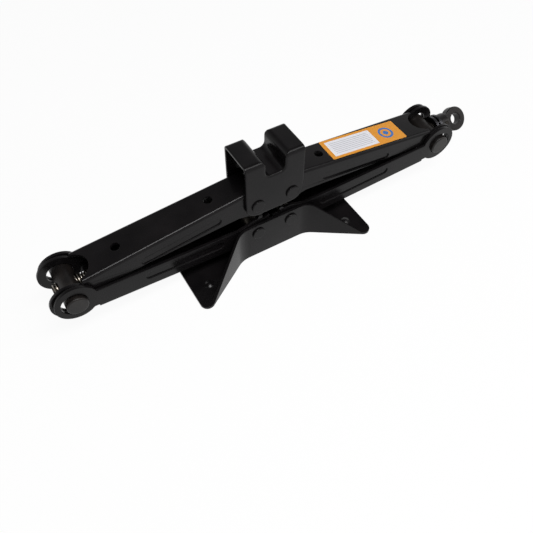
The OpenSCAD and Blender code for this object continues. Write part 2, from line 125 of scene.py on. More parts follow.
def set_ramp(node: bpy.types.Node, stops: Iterable[tuple[float, tuple]]) -> None:
    """Sets the stops of a colour ramp.

    Args:
        node: the colour ramp.
        stops: place and linear colour of each stop, from low to high.
    """
    elements = node.color_ramp.elements
    wanted = list(stops)
    while len(elements) < len(wanted):
        elements.new(1.0)
    for element, (place, colour) in zip(elements, wanted):
        element.position = place
        element.color = colour


def grey(value: float) -> tuple[float, float, float, float]:
    """Gives a linear grey."""
    return (value, value, value, 1.0)


def new_material(name: str) -> tuple[bpy.types.Material, bpy.types.NodeTree, bpy.types.Node]:
    """Makes a material with one principled shader.

    Args:
        name: name of the material.

    Returns:
        The material, its node tree and its shader.
    """
    material = bpy.data.materials.new(name)
    material.use_nodes = True
    tree = material.node_tree
    tree.nodes.clear()
    shader = add_node(tree, "ShaderNodeBsdfPrincipled")
    add_node(tree, "ShaderNodeOutputMaterial", None, {"Surface": shader.outputs["BSDF"]})
    return material, tree, shader


class Finish:
    """A finish that makes its material once and hands it out after that."""

    name: str

    def material(self) -> bpy.types.Material:
        """Gives the material, made on the first call."""
        found = bpy.data.materials.get(self.name)
        return found if found else self.make()

    def make(self) -> bpy.types.Material:
        """Makes the material."""
        raise NotImplementedError


@dataclass(frozen=True)
class BlackEnamel(Finish):
    """Black enamel sprayed on pressed steel: deep, half glossy, with a faint orange peel."""

    name: str = "black_enamel_sprayed_on_pressed_steel"
    colour: str = "#0c0b0c"
    dusty: str = "#141213"
    roughness: float = 0.22
    roughness_spread: float = 0.1
    ior: float = 1.235
    peel_mm: float = 1.1
    peel_height_mm: float = 0.006
    cloud_mm: float = 26.0

    def make(self) -> bpy.types.Material:
        """Makes the enamel. Slow clouds vary colour and gloss, and a fine noise gives the peel."""
        material, tree, shader = new_material(self.name)
        place = add_node(tree, "ShaderNodeTexCoord").outputs["Object"]
        cloud = add_node(tree, "ShaderNodeTexNoise", None,
                         {"Vector": place, "Scale": 1.0 / (self.cloud_mm * MM), "Detail": 4.0})
        tint = add_node(tree, "ShaderNodeValToRGB", None, {"Fac": cloud.outputs["Fac"]})
        set_ramp(tint, [(0.35, linear(self.colour)), (0.72, linear(self.dusty))])
        gloss = add_node(tree, "ShaderNodeMapRange", None, {
            "Value": cloud.outputs["Fac"], "From Min": 0.3, "From Max": 0.7,
            "To Min": self.roughness - self.roughness_spread / 2.0,
            "To Max": self.roughness + self.roughness_spread / 2.0})
        peel = add_node(tree, "ShaderNodeTexNoise", None,
                        {"Vector": place, "Scale": 1.0 / (self.peel_mm * MM), "Detail": 2.0})
        bump = add_node(tree, "ShaderNodeBump", None, {
            "Height": peel.outputs["Fac"], "Strength": 1.0, "Distance": self.peel_height_mm * MM})
        tree.links.new(tint.outputs["Color"], shader.inputs["Base Color"])
        tree.links.new(gloss.outputs["Result"], shader.inputs["Roughness"])
        tree.links.new(bump.outputs["Normal"], shader.inputs["Normal"])
        shader.inputs["IOR"].default_value = self.ior
        return material


@dataclass(frozen=True)
class BlackedForging(Finish):
    """Steel that was forged or turned and then blacked: matt, a little brown, with fine pits."""

    name: str = "blacked_steel_forged_and_turned"
    colour: str = "#0f0d0d"
    worn: str = "#1e1a18"
    roughness: float = 0.36
    ior: float = 1.34
    # real pits are finer, and are drawn this coarse so that they show
    grain_mm: float = 0.9
    grain_height_mm: float = 0.012
    patch_mm: float = 9.0

    def make(self) -> bpy.types.Material:
        """Makes the blacked steel. Patches turn brown, and a fine grain keeps it matt."""
        material, tree, shader = new_material(self.name)
        place = add_node(tree, "ShaderNodeTexCoord").outputs["Object"]
        patch = add_node(tree, "ShaderNodeTexNoise", None,
                         {"Vector": place, "Scale": 1.0 / (self.patch_mm * MM), "Detail": 5.0})
        tint = add_node(tree, "ShaderNodeValToRGB", None, {"Fac": patch.outputs["Fac"]})
        set_ramp(tint, [(0.4, linear(self.colour)), (0.75, linear(self.worn))])
        grain = add_node(tree, "ShaderNodeTexNoise", None,
                         {"Vector": place, "Scale": 1.0 / (self.grain_mm * MM), "Detail": 3.0})
        bump = add_node(tree, "ShaderNodeBump", None, {
            "Height": grain.outputs["Fac"], "Strength": 1.0, "Distance": self.grain_height_mm * MM})
        tree.links.new(tint.outputs["Color"], shader.inputs["Base Color"])
        tree.links.new(bump.outputs["Normal"], shader.inputs["Normal"])
        shader.inputs["Roughness"].default_value = self.roughness
        shader.inputs["IOR"].default_value = self.ior
        return material


@dataclass(frozen=True)
class BareSteel(Finish):
    """Bare steel: a grey metal with soft smudges of oil that change its gloss."""

    name: str
    colour: str
    oiled: str
    roughness: float
    smudge_mm: float = 6.0
    gloss_less: float = 0.08
    gloss_more: float = 0.1

    def make(self) -> bpy.types.Material:
        """Makes the bare steel. One noise drives the smudges in colour and gloss."""
        material, tree, shader = new_material(self.name)
        place = add_node(tree, "ShaderNodeTexCoord").outputs["Object"]
        smudge = add_node(tree, "ShaderNodeTexNoise", None,
                          {"Vector": place, "Scale": 1.0 / (self.smudge_mm * MM), "Detail": 4.0})
        tint = add_node(tree, "ShaderNodeValToRGB", None, {"Fac": smudge.outputs["Fac"]})
        set_ramp(tint, [(0.35, linear(self.colour)), (0.7, linear(self.oiled))])
        gloss = add_node(tree, "ShaderNodeMapRange", None, {
            "Value": smudge.outputs["Fac"], "From Min": 0.3, "From Max": 0.7,
            "To Min": self.roughness - self.gloss_less, "To Max": self.roughness + self.gloss_more})
        tree.links.new(tint.outputs["Color"], shader.inputs["Base Color"])
        tree.links.new(gloss.outputs["Result"], shader.inputs["Roughness"])
        shader.inputs["Metallic"].default_value = 1.0
        return material


@dataclass(frozen=True)
class RootShadedThread(Finish):
    """Rolled steel thread: bright steel crests, and a painted shade that darkens the roots to brown, with
    random smears.
    """

    name: str = "rolled_steel_thread_painted_shade_in_roots"
    crest: str = "#8e8880"
    # painted shade: the roots' dark brown stands for the shade down in the thread
    root: str = "#29251f"
    crest_r: float = 5.0 * MM
    root_r: float = 3.9 * MM
    roughness: float = 0.38
    smear_mm: float = 3.0
    smear_share: float = 0.5

    def make(self) -> bpy.types.Material:
        """Makes the screw's finish. The distance from the screw's axis tells crest from root, and the
        roots get a painted shade.
        """
        material, tree, shader = new_material(self.name)
        place = add_node(tree, "ShaderNodeTexCoord").outputs["Object"]
        across = add_node(tree, "ShaderNodeVectorMath", {"operation": "MULTIPLY_ADD"},
                          {0: place, 1: (0.0, 1.0, 1.0), 2: (0.0, 0.0, -SCREW_Z)})
        out = add_node(tree, "ShaderNodeVectorMath", {"operation": "LENGTH"},
                       {0: across.outputs["Vector"]})
        smear = add_node(tree, "ShaderNodeTexNoise", None,
                         {"Vector": place, "Scale": 1.0 / (self.smear_mm * MM), "Detail": 3.0})
        height = add_node(tree, "ShaderNodeMapRange", None, {
            "Value": out.outputs["Value"], "From Min": self.root_r, "From Max": self.crest_r})
        mixed = add_node(tree, "ShaderNodeMath", {"operation": "MULTIPLY_ADD"},
                         {0: smear.outputs["Fac"], 1: self.smear_share, 2: height.outputs["Result"]})
        tint = add_node(tree, "ShaderNodeValToRGB", None, {"Fac": mixed.outputs["Value"]})
        # the low end of the ramp paints shade into the thread's roots
        set_ramp(tint, [(0.55, linear(self.root)), (0.98, linear(self.crest))])
        tree.links.new(tint.outputs["Color"], shader.inputs["Base Color"])
        shader.inputs["Metallic"].default_value = 1.0
        shader.inputs["Roughness"].default_value = self.roughness
        return material


@dataclass(frozen=True)
class PaleFloor(Finish):
    """Pale paper sweep: white to the eye and to mirrors, with a soft shadow of the object."""

    name: str = "pale_paper_sweep"
    colour: str = "#e9e9e9"
    shadow_share: float = 0.06

    def make(self) -> bpy.types.Material:
        """Makes the paper. Seen directly or in a mirror it is mostly white, and it keeps a shadow."""
        material = bpy.data.materials.new(self.name)
        material.use_nodes = True
        tree = material.node_tree
        tree.nodes.clear()
        paper = add_node(tree, "ShaderNodeBsdfDiffuse", None, {"Color": linear(self.colour)})
        white = add_node(tree, "ShaderNodeEmission", None, {"Color": grey(1.0), "Strength": 1.0})
        seen = seen_directly(tree)
        share = add_node(tree, "ShaderNodeMath", {"operation": "MULTIPLY"},
                         {0: seen, 1: 1.0 - self.shadow_share})
        mix = add_node(tree, "ShaderNodeMixShader", None, {
            0: share.outputs["Value"], 1: paper.outputs["BSDF"], 2: white.outputs["Emission"]})
        add_node(tree, "ShaderNodeOutputMaterial", None, {"Surface": mix.outputs["Shader"]})
        return material


def seen_directly(tree: bpy.types.NodeTree) -> bpy.types.NodeSocket:
    """Tells camera, glossy and transmission rays from the rays that light the scene.

    Args:
        tree: the node tree that asks.

    Returns:
        A socket that is 1 for rays that show the surface and 0 for the rest.
    """
    path = add_node(tree, "ShaderNodeLightPath")
    mirror = add_node(tree, "ShaderNodeMath", {"operation": "MAXIMUM"},
                      {0: path.outputs["Is Glossy Ray"], 1: path.outputs["Is Transmission Ray"]})
    seen = add_node(tree, "ShaderNodeMath", {"operation": "MAXIMUM"},
                    {0: path.outputs["Is Camera Ray"], 1: mirror.outputs["Value"]})
    return seen.outputs["Value"]


@dataclass(frozen=True)
class Print(Finish):
    """Printed vinyl label: an orange ground, a pale ruled panel, and a plain blue figure."""

    name: str = "vinyl_label_screen_printed"
    ground: str = "#d18a22"
    panel: str = "#d9d9de"
    rule: str = "#8f8f99"
    figure: str = "#2b66a8"
    middle_x: float = 76.5 * MM
    middle_y: float = -0.5 * MM
    turn: float = math.radians(-1.0)
    web_z: float = 14.0 * MM
    half_len: float = 36.8 * MM
    half_w: float = 11.4 * MM
    # places on the label as shares of its half length and half width
    panel_x: tuple[float, float] = (-0.9, 0.28)
    panel_y: float = 0.78
    ruled_x: tuple[float, float] = (-0.82, 0.2)
    ruled_y: float = 0.68
    figure_x: float = 0.62
    # the rules and the figure, in metres
    rule_half_gap: float = 1.0 * MM
    rule_half: float = 0.2 * MM
    ring_inner: float = 4.6 * MM
    ring_outer: float = 6.6 * MM
    dot_radius: float = 2.4 * MM
    roughness: float = 0.38

    def make(self) -> bpy.types.Material:
        """Makes the print on the label's own plane, with the label's middle as its origin."""
        material, tree, shader = new_material(self.name)
        place = add_node(tree, "ShaderNodeTexCoord").outputs["Object"]
        shifted = add_node(tree, "ShaderNodeMapping", {"vector_type": "POINT"}, {
            "Vector": place, "Location": (-PIVOT_HALF, 0.0, -SADDLE_PIVOT_Z)})
        turned = add_node(tree, "ShaderNodeMapping", {"vector_type": "POINT"}, {
            "Vector": shifted.outputs["Vector"], "Rotation": (0.0, -ARM_TILT, 0.0),
            "Location": (-self.middle_x, -self.middle_y, 0.0)})
        laid = add_node(tree, "ShaderNodeMapping", {"vector_type": "POINT"}, {
            "Vector": turned.outputs["Vector"], "Rotation": (0.0, 0.0, -self.turn)})
        split = add_node(tree, "ShaderNodeSeparateXYZ", None, {"Vector": laid.outputs["Vector"]})
        x, y = split.outputs["X"], split.outputs["Y"]
        panel = self.patch(tree, x, y, self.panel_x, self.panel_y)
        wave = add_node(tree, "ShaderNodeMath", {"operation": "PINGPONG"}, {0: y, 1: self.rule_half_gap})
        ruled = add_node(tree, "ShaderNodeMath", {"operation": "LESS_THAN"},
                         {0: wave.outputs["Value"], 1: self.rule_half})
        lined = self.both(tree, ruled.outputs["Value"],
                          self.patch(tree, x, y, self.ruled_x, self.ruled_y))
        middle = self.figure_x * self.half_len
        ring = self.ring(tree, x, y, middle, self.ring_inner, self.ring_outer)
        dot = self.ring(tree, x, y, middle, -self.dot_radius, self.dot_radius)
        either = add_node(tree, "ShaderNodeMath", {"operation": "MAXIMUM"}, {0: ring, 1: dot})
        figure = either.outputs["Value"]
        colour = self.over(tree, linear(self.ground), linear(self.panel), panel)
        colour = self.over(tree, colour, linear(self.rule), lined)
        colour = self.over(tree, colour, linear(self.figure), figure)
        tree.links.new(colour, shader.inputs["Base Color"])
        shader.inputs["Roughness"].default_value = self.roughness
        return material

    def patch(self, tree: bpy.types.NodeTree, x: bpy.types.NodeSocket, y: bpy.types.NodeSocket,
              span: tuple[float, float], half: float) -> bpy.types.NodeSocket:
        """Marks a rectangle on the label.

        Args:
            tree: the node tree.
            x: distance along the label.
            y: distance across the label.
            span: both ends of the rectangle, as shares of the half length.
            half: half of its width, as a share of the half width.

        Returns:
            A socket that is 1 on the rectangle.
        """
        along = self.band(tree, x, span[0] * self.half_len, span[1] * self.half_len)
        return self.both(tree, along, self.band(tree, y, -half * self.half_w, half * self.half_w))

    @staticmethod
    def band(tree: bpy.types.NodeTree, value: bpy.types.NodeSocket, low: float,
             high: float) -> bpy.types.NodeSocket:
        """Marks where a value lies between low and high.

        Args:
            tree: the node tree.
            value: the value's socket.
            low: lower limit.
            high: upper limit.

        Returns:
            A socket that is 1 inside the band.
        """
        far = add_node(tree, "ShaderNodeMath", {"operation": "COMPARE"},
                       {0: value, 1: (low + high) / 2.0, 2: (high - low) / 2.0})
        return far.outputs["Value"]

    @staticmethod
    def both(tree: bpy.types.NodeTree, one: bpy.types.NodeSocket,
             two: bpy.types.NodeSocket) -> bpy.types.NodeSocket:
        """Marks where both sockets are 1."""
        product = add_node(tree, "ShaderNodeMath", {"operation": "MULTIPLY"}, {0: one, 1: two})
        return product.outputs["Value"]

    @classmethod
    def ring(cls, tree: bpy.types.NodeTree, x: bpy.types.NodeSocket, y: bpy.types.NodeSocket,
             middle: float, inner: float, outer: float) -> bpy.types.NodeSocket:
        """Marks a ring on the label's middle line.

        Args:
            tree: the node tree.
            x: distance along the label.
            y: distance across the label.
            middle: x of the ring's middle.
            inner: inner radius.
            outer: outer radius.

        Returns:
            A socket that is 1 on the ring.
        """
        dx = add_node(tree, "ShaderNodeMath", {"operation": "SUBTRACT"}, {0: x, 1: middle})
        flat = add_node(tree, "ShaderNodeCombineXYZ", None, {"X": dx.outputs["Value"], "Y": y})
        away = add_node(tree, "ShaderNodeVectorMath", {"operation": "LENGTH"},
                        {0: flat.outputs["Vector"]})
        return cls.band(tree, away.outputs["Value"], inner, outer)

    @staticmethod
    def over(tree: bpy.types.NodeTree, under: object, ink: tuple,
             where: bpy.types.NodeSocket) -> bpy.types.NodeSocket:
        """Prints an ink over a colour.

        Args:
            tree: the node tree.
            under: colour or colour socket below.
            ink: linear colour of the ink.
            where: socket that is 1 where the ink goes.

        Returns:
            The colour socket.
        """
        mix = add_node(tree, "ShaderNodeMix", {"data_type": "RGBA"}, {0: where, 6: under, 7: ink})
        return mix.outputs[2]


def deselect() -> None:
    """Leaves edit mode and deselects everything."""
    if bpy.context.object and bpy.context.object.mode != "OBJECT":
        bpy.ops.object.mode_set(mode="OBJECT")
    bpy.ops.object.select_all(action="DESELECT")


def work_on(piece: bpy.types.Object) -> None:
    """Selects one object and makes it the active one.

    Args:
        piece: the object to work on.
    """
    deselect()
    piece.select_set(True)
    bpy.context.view_layer.objects.active = piece


def add_modifier(piece: bpy.types.Object, kind: str, **settings: object) -> None:
    """Adds a modifier and applies it.

    Args:
        piece: the object.
        kind: Blender's own name of the modifier.
        settings: the modifier's properties.
    """
    work_on(piece)
    modifier = piece.modifiers.new(kind.lower(), kind)
    for key, value in settings.items():
        setattr(modifier, key, value)
    bpy.ops.object.modifier_apply(modifier=modifier.name)


def copy_of(node: str, name: str) -> bpy.types.Object:
    """Copies a node's mesh into a new object and merges its loose triangles into one skin.

    Args:
        node: name of the node.
        name: name of the new object.

    Returns:
        The new object.
    """
    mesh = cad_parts[node].data.copy()
    mesh.name = name
    mesh.materials.clear()
    piece = bpy.data.objects.new(name, mesh)
    bpy.context.scene.collection.objects.link(piece)
    work_on(piece)
    bpy.ops.mesh.customdata_custom_splitnormals_clear()
    bpy.ops.object.mode_set(mode="EDIT")
    bpy.ops.mesh.select_all(action="SELECT")
    bpy.ops.mesh.remove_doubles(threshold=SAME_COPIED_POINT)
    bpy.ops.mesh.dissolve_limited(angle_limit=SAME_PLANE)
    bpy.ops.object.mode_set(mode="OBJECT")
    return piece


def draw_outline(start: tuple[float, float, float],
                 steps: Iterable[tuple[float, float, float]]) -> bpy.types.Object:
    """Draws an outline by extruding one point step by step.

    Args:
        start: the first point.
        steps: the move from each point to the next.

    Returns:
        An object that holds the outline's edges.
    """
    deselect()
    bpy.ops.mesh.primitive_plane_add(size=MM, location=(0.0, 0.0, 0.0))
    outline = bpy.context.object
    bpy.ops.object.mode_set(mode="EDIT")
    bpy.ops.mesh.select_mode(type="VERT")
    bpy.ops.mesh.select_all(action="SELECT")
    bpy.ops.mesh.merge(type="CENTER")
    bpy.ops.transform.translate(value=start)
    for step in steps:
        bpy.ops.mesh.extrude_region_move(TRANSFORM_OT_translate={"value": step})
    bpy.ops.object.mode_set(mode="OBJECT")
    return outline


def close_skin(piece: bpy.types.Object) -> None:
    """Merges the doubles of a turned piece and makes its faces point outwards.

    Args:
        piece: the piece.
    """
    work_on(piece)
    bpy.ops.object.mode_set(mode="EDIT")
    bpy.ops.mesh.select_all(action="SELECT")
    bpy.ops.mesh.remove_doubles(threshold=SAME_POINT)
    bpy.ops.mesh.normals_make_consistent(inside=False)
    bpy.ops.object.mode_set(mode="OBJECT")


def edit_where(piece: bpy.types.Object, kind: str, wanted: Callable[[bpy.types.AnyType], bool]) -> None:
    """Enters edit mode with only the wanted faces or edges selected.

    Args:
        piece: the object.
        kind: FACE or EDGE.
        wanted: tells whether a face or an edge is wanted.
    """
    work_on(piece)
    bpy.ops.object.mode_set(mode="EDIT")
    bpy.ops.mesh.select_mode(type=kind)
    bpy.ops.mesh.select_all(action="DESELECT")
    bpy.ops.object.mode_set(mode="OBJECT")
    for part in piece.data.polygons if kind == "FACE" else piece.data.edges:
        part.select = wanted(part)
    bpy.ops.object.mode_set(mode="EDIT")


def join_into(piece: bpy.types.Object, extra: bpy.types.Object) -> None:
    """Joins a second mesh into a piece, at the place where it stands.

    Args:
        piece: the piece that takes it in.
        extra: the mesh that is joined and is gone after that.
    """
    work_on(piece)
    extra.select_set(True)
    bpy.ops.object.join()


def finish_piece(piece: bpy.types.Object, finish: Finish, body: Body,
                 replaced: tuple[str, ...] = ()) -> None:
    """Gives a piece its finish, its body and the nodes that it stands for.

    Args:
        piece: the object.
        finish: its finish.
        body: the body that it rides on.
        replaced: nodes that it stands for.
    """
    piece.data.materials.clear()
    piece.data.materials.append(finish.material())
    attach(piece, body.value)
    if replaced:
        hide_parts(*replaced)
    LOG.info("%s: %d faces, rides on %s", piece.name, len(piece.data.polygons), body.value)


ENAMEL = BlackEnamel()
FORGED = BlackedForging()
# painted shade: this steel is darkened all over to stand for the shade in the gap between saddle and base,
# where the spacers sit; its smudges are oil
SHADE_DARKENED_STEEL = BareSteel(name="tube_steel_darkened_as_painted_shade", colour="#3a3733", oiled="#211f1c", roughness=0.42)
BLUED_STEEL = BareSteel(name="bearing_steel_hardened_and_blued", colour="#4a4a4d", oiled="#2f2e30",
                        roughness=0.32, smudge_mm=3.0)


@dataclass
class SoftEdged:
    """A node that keeps its shape and gets the small rounds that pressing or turning leaves."""

    node: str
    body: Body
    finish: Finish
    slot: Slot
    edge_round: float = 0.35 * MM
    segments: int = 2
    sharp_deg: float = 32.0
    smooth_deg: float = 40.0

    def shape(self, piece: bpy.types.Object) -> None:
        """Leaves the copy as it is, for a sub-class to shape it further.

        Args:
            piece: the copy of the node.
        """

    def build(self) -> bpy.types.Object:
        """Copies the node, rounds its sharp edges and smooths its shading.

        Returns:
            The finished piece.
        """
        piece = copy_of(self.node, self.node + "_rounded")
        self.shape(piece)
        add_modifier(piece, "BEVEL", width=self.edge_round, segments=self.segments, limit_method="ANGLE",
                     angle_limit=math.radians(self.sharp_deg), use_clamp_overlap=False,
                     miter_outer="MITER_ARC")
        work_on(piece)
        bpy.ops.object.shade_smooth_by_angle(angle=math.radians(self.smooth_deg))
        add_modifier(piece, "WEIGHTED_NORMAL", keep_sharp=True)
        finish_piece(piece, self.finish, self.body, (self.node,))
        return piece


@dataclass
class BasePlate(SoftEdged):
    """The base, whose studs were pressed up from below and end in soft round crowns."""

    top_z: float = 2.5 * MM
    stud_x: float = 65.5 * MM
    stud_y: float = 24.5 * MM
    stud_radius: float = 4.7 * MM
    crown_height: float = 1.6 * MM
    crown_sunk: float = 0.4 * MM
    core_share: float = 0.2
    rings: int = 14
    sides: int = 40

    def crown(self) -> bpy.types.Object:
        """Turns one crown: a soft hill that leaves the plate without an edge, on a closed foot.

        Returns:
            The crown, with its axis on Z and the plate's top at height 0.
        """
        hill = [self.crown_height * math.sin(math.pi / 2.0 * ring / self.rings) ** 2
                for ring in range(self.rings + 1)]
        steps = [(self.stud_radius, 0.0, 0.0), (0.0, 0.0, self.crown_sunk)]
        steps += [(-self.stud_radius / self.rings, 0.0, high - low) for low, high in zip(hill, hill[1:])]
        crown = draw_outline((0.0, 0.0, -self.crown_sunk), steps)
        add_modifier(crown, "SCREW", axis="Z", angle=math.tau, screw_offset=0.0, steps=self.sides,
                     render_steps=self.sides, use_merge_vertices=True, merge_threshold=SAME_POINT,
                     use_normal_calculate=True)
        close_skin(crown)
        return crown

    def shape(self, piece: bpy.types.Object) -> None:
        """Lowers the plain domes of the studs and sets the soft crowns over them.

        Args:
            piece: the copy of the node.
        """
        for vertex in piece.data.vertices:
            away = math.hypot(abs(vertex.co.x) - self.stud_x, abs(vertex.co.y) - self.stud_y)
            if away < self.stud_radius and vertex.co.z > self.top_z:
                vertex.co.z = self.top_z + (vertex.co.z - self.top_z) * self.core_share
        for x in (-self.stud_x, self.stud_x):
            for y in (-self.stud_y, self.stud_y):
                crown = self.crown()
                crown.location = (x, y, self.top_z)
                join_into(piece, crown)


@dataclass
class LowerArm(SoftEdged):
    """A lower arm, whose web runs on as a rounded tongue between the ears of the arm above."""

    half_turn: float = 0.0
    web_z: float = -14.0 * MM
    sheet: float = 2.5 * MM
    skin: float = 0.1 * MM
    tongue_start: float = 126.0 * MM
    tongue_end: float = 141.5 * MM
    tongue_half: float = 8.0 * MM
    tip_round: float = 5.0 * MM
    tip_segments: int = 6

    def shape(self, piece: bpy.types.Object) -> None:
        """Lays the tongue in the web's end, a little thinner than the web so that no faces coincide.

        Args:
            piece: the copy of the node.
        """
        deselect()
        length = self.tongue_end - self.tongue_start
        bpy.ops.mesh.primitive_cube_add(size=1.0, location=(0.0, 0.0, 0.0))
        tongue = bpy.context.object
        tongue.scale = (length, 2.0 * self.tongue_half, self.sheet - 2.0 * self.skin)
        bpy.ops.object.transform_apply(location=True, rotation=True, scale=True)

        def upright_at_tip(edge: bpy.types.MeshEdge) -> bool:
            """Tells whether an edge stands upright at the tongue's tip."""
            one, two = (tongue.data.vertices[index].co for index in edge.vertices)
            return min(one.x, two.x) > 0.0 and abs(one.z - two.z) > self.skin

        edit_where(tongue, "EDGE", upright_at_tip)
        bpy.ops.mesh.bevel(offset=self.tip_round, segments=self.tip_segments)
        bpy.ops.mesh.select_mode(type="VERT")
        bpy.ops.object.mode_set(mode="OBJECT")
        place = Matrix.Translation((self.tongue_start + length / 2.0, 0.0, self.web_z + self.sheet / 2.0))
        lay = Matrix.Translation((PIVOT_HALF, 0.0, BASE_PIVOT_Z)) @ Matrix.Rotation(-ARM_TILT, 4, "Y")
        tongue.matrix_world = Matrix.Rotation(self.half_turn, 4, "Z") @ lay @ place
        join_into(piece, tongue)


@dataclass
class LeadScrew:
    """The lead screw with its rolled thread, a plain shank in the bearing and a spigot in the hub."""

    radius: float = 5.0 * MM
    root_radius: float = 3.9 * MM
    pitch: float = 2.0 * MM
    tail_x: float = -173.0 * MM
    thread_end_x: float = 142.0 * MM
    hub_x: float = 175.7 * MM
    spigot_radius: float = 4.0 * MM
    spigot_len: float = 8.8 * MM
    point_len: float = 1.4 * MM
    point_radius: float = 3.7 * MM
    steps: int = 28
    # flank and flat of the thread as shares of its pitch
    flank_share: float = 0.22
    flat_share: float = 0.28
    smooth_deg: float = 25.0

    def thread(self) -> bpy.types.Object:
        """Turns a trapezoidal outline along the screw's axis and trims both ends flat.

        Returns:
            The threaded bar, with its axis on X through the origin.
        """
        start = self.tail_x - 2.0 * self.pitch
        turns = math.ceil((self.thread_end_x - start) / self.pitch) + 2
        flank = self.flank_share * self.pitch
        flat = self.flat_share * self.pitch
        depth = self.radius - self.root_radius
        steps = ((flat, 0.0, 0.0), (flank, 0.0, depth), (flat, 0.0, 0.0), (flank, 0.0, -depth))
        bar = draw_outline((start, 0.0, self.root_radius), steps)
        bar.name = "lead_screw_threaded"
        add_modifier(bar, "SCREW", axis="X", angle=math.tau, screw_offset=self.pitch, iterations=turns,
                     steps=self.steps, render_steps=self.steps, use_merge_vertices=True,
                     merge_threshold=SAME_POINT, use_normal_calculate=True)
        work_on(bar)
        bpy.ops.object.mode_set(mode="EDIT")
        for x, outwards in ((self.tail_x, -1.0), (self.thread_end_x, 1.0)):
            bpy.ops.mesh.select_all(action="SELECT")
            bpy.ops.mesh.bisect(plane_co=(x, 0.0, 0.0), plane_no=(outwards, 0.0, 0.0), use_fill=True,
                                clear_outer=True, threshold=SAME_POINT / 2.0)
        close_skin(bar)
        return bar

    def point(self, bar: bpy.types.Object) -> None:
        """Turns the tail end to a short point, as a lathe would.

        Args:
            bar: the threaded bar.
        """
        for vertex in bar.data.vertices:
            along = vertex.co.x - self.tail_x
            out = math.hypot(vertex.co.y, vertex.co.z)
            limit = self.point_radius + (self.radius - self.point_radius) * along / self.point_len
            if along < self.point_len and out > limit:
                vertex.co.y *= limit / out
                vertex.co.z *= limit / out

    def shank(self) -> bpy.types.Object:
        """Makes the plain shank and draws it in to the spigot.

        Returns:
            The shank, with its axis on X through the origin.
        """
        deselect()
        length = self.hub_x - self.thread_end_x
        bpy.ops.mesh.primitive_cylinder_add(vertices=48, radius=self.radius, depth=length,
                                            rotation=(0.0, math.pi / 2.0, 0.0),
                                            location=(self.thread_end_x + length / 2.0, 0.0, 0.0))
        shank = bpy.context.object
        bpy.ops.object.transform_apply(location=True, rotation=True, scale=True)
        edit_where(shank, "FACE", lambda face: face.normal.x > 0.9)
        bpy.ops.mesh.inset(thickness=self.radius - self.spigot_radius, depth=0.0)
        bpy.ops.mesh.extrude_region_move(TRANSFORM_OT_translate={"value": (self.spigot_len, 0.0, 0.0)})
        bpy.ops.object.mode_set(mode="OBJECT")
        return shank

    def build(self) -> bpy.types.Object:
        """Builds the screw in place of the plain bar.

        Returns:
            The finished screw.
        """
        bar = self.thread()
        self.point(bar)
        shank = self.shank()
        join_into(bar, shank)
        bar.location = (0.0, 0.0, SCREW_Z)
        bpy.ops.object.transform_apply(location=True, rotation=True, scale=True)
        bpy.ops.object.shade_smooth_by_angle(angle=math.radians(self.smooth_deg))
        finish_piece(bar, RootShadedThread(), Body.SCREW, ("lead_screw",))
        return bar


@dataclass
class Melted:
    """A node whose edges and corners flow into one another, as forging or deep pressing leaves them."""

    node: str
    body: Body
    finish: Finish
    voxel: float
    smoothing: int
    lip: tuple[float, float, float] | None = None
    lip_smoothing: int = 40

    def relax_lip(self, piece: bpy.types.Object) -> None:
        """Rounds a lip more than the rest: all that lies within a width and beyond a depth and a height.

        Args:
            piece: the relaxed skin.
        """
        half_width, depth, height = self.lip
        zone = piece.vertex_groups.new(name="lip")
        inside = [v.index for v in piece.data.vertices
                  if abs(v.co.x) < half_width and abs(v.co.y) > depth and v.co.z > height]
        zone.add(inside, 1.0, "REPLACE")
        add_modifier(piece, "SMOOTH", factor=0.5, iterations=self.lip_smoothing, vertex_group=zone.name)
        piece.vertex_groups.clear()

    def build(self) -> bpy.types.Object:
        """Makes one even skin of the node's copy and relaxes it until its edges are round.

        Returns:
            The finished piece.
        """
        piece = copy_of(self.node, self.node + "_melted")
        add_modifier(piece, "REMESH", mode="VOXEL", voxel_size=self.voxel, adaptivity=0.0)
        add_modifier(piece, "SMOOTH", factor=0.5, iterations=self.smoothing)
        if self.lip:
            self.relax_lip(piece)
        work_on(piece)
        bpy.ops.object.shade_smooth()
        finish_piece(piece, self.finish, self.body, (self.node,))
        return piece


@dataclass
class Label:
    """A thin vinyl label on the right upper arm's web."""

    ink: Print = field(default_factory=Print)
    thickness: float = 0.12 * MM
    corner: float = 1.2 * MM
    glue: float = 0.02 * MM

    def build(self) -> bpy.types.Object:
        """Makes a rounded plate and lays it on the web.

        Returns:
            The finished label.
        """
        deselect()
        bpy.ops.mesh.primitive_plane_add(size=2.0, location=(0.0, 0.0, 0.0))
        label = bpy.context.object
        label.name = "arm_label"
        label.scale = (self.ink.half_len, self.ink.half_w, 1.0)
        bpy.ops.object.transform_apply(location=True, rotation=True, scale=True)
        bpy.ops.object.mode_set(mode="EDIT")
        bpy.ops.mesh.select_all(action="SELECT")
        bpy.ops.mesh.bevel(offset=self.corner, segments=5, affect="VERTICES")
        bpy.ops.mesh.select_all(action="SELECT")
        bpy.ops.mesh.extrude_region_move(TRANSFORM_OT_translate={"value": (0.0, 0.0, self.thickness)})
        bpy.ops.mesh.select_all(action="SELECT")
        bpy.ops.mesh.normals_make_consistent(inside=False)
        bpy.ops.object.mode_set(mode="OBJECT")
        lay = Matrix.Translation((PIVOT_HALF, 0.0, SADDLE_PIVOT_Z)) @ Matrix.Rotation(ARM_TILT, 4, "Y")
        place = Matrix.Translation((self.ink.middle_x, self.ink.middle_y, self.ink.web_z + self.glue))
        label.matrix_world = lay @ place @ Matrix.Rotation(self.ink.turn, 4, "Z")
        bpy.ops.object.transform_apply(location=True, rotation=True, scale=True)
        finish_piece(label, self.ink, Body.UPPER_RIGHT)
        return label


